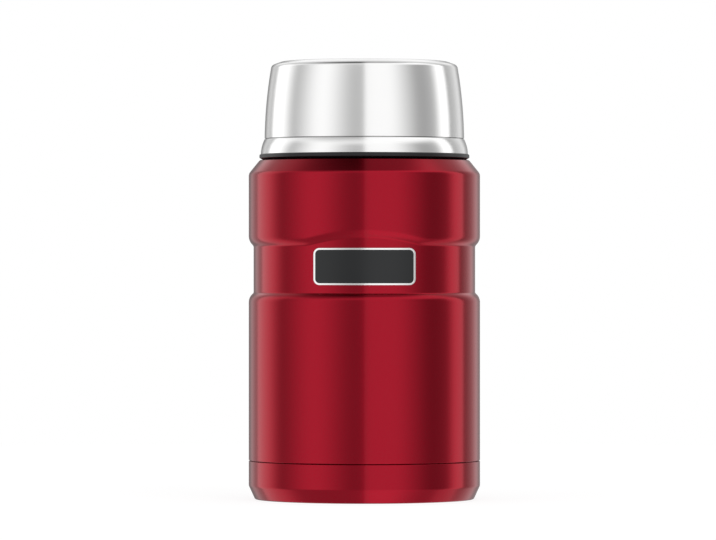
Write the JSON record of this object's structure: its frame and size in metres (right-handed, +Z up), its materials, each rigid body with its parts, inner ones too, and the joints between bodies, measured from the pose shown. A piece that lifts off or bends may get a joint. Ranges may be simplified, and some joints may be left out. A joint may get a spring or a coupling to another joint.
{
  "type": "insulated food jar",
  "caption": "Steel vacuum food jar with a waisted red body, a screw-in stopper and a steel serving bowl that screws over the neck as the lid.",
  "frame": {"origin": "centre of the foot ring, on the plane that the jar stands on", "axes": "+Z up along the jar's axis; -Y is the front, where the badge is; +X is to the right seen from the front"},
  "size_m": [0.1, 0.1, 0.1884],
  "materials": {
    "red_paint": "translucent deep red over metal, glossy",
    "brushed_steel": "fine circumferential brushing, satin",
    "plain_steel": "plain drawn stainless steel",
    "copper_foil": "thin bright copper foil",
    "getter_metal": "dull sintered metal",
    "solder_glass": "dark fused bead",
    "badge_metal": "bright metal rim",
    "badge_enamel": "blank dark enamel",
    "silicone": "grey silicone",
    "black_plastic": "fine matte black",
    "foam": "rigid white foam"
  },
  "bodies": {
    "jar": {"outer_shell": "red_paint", "neck_ring": "plain_steel", "base_cap": "red_paint", "vacuum_bottom": "plain_steel", "inner_flask": "plain_steel", "flask_bottom": "plain_steel", "foil_wrap": "copper_foil", "getter": "getter_metal", "getter_clip": "plain_steel", "seal_bead": "solder_glass", "badge_frame": "badge_metal", "badge_inlay": "badge_enamel"},
    "gasket": {"stopper_gasket": "silicone"},
    "stopper": {"stopper_body": "black_plastic", "stopper_cover": "black_plastic", "stopper_foam": "foam"},
    "ring": {"bowl_ring": "black_plastic"},
    "bowl": {"bowl_shell": "brushed_steel", "bowl_liner": "brushed_steel", "bowl_collar": "black_plastic"}
  },
  "joints": [
    {"name": "stopper_lift", "type": "slide", "parent": "jar", "child": "gasket", "axis": [0, 0, 1], "range_m": [0, 0.06]},
    {"name": "stopper_turn", "type": "hinge", "parent": "gasket", "child": "stopper", "pos_m": [0, 0, 0.15], "axis": [0, 0, 1], "range_deg": [0, 540]},
    {"name": "lid_lift", "type": "slide", "parent": "stopper", "child": "ring", "axis": [0, 0, 1], "range_m": [0, 0.07]},
    {"name": "lid_turn", "type": "hinge", "parent": "ring", "child": "bowl", "pos_m": [0, 0, 0.15], "axis": [0, 0, 1], "range_deg": [0, 450]}
  ]
}
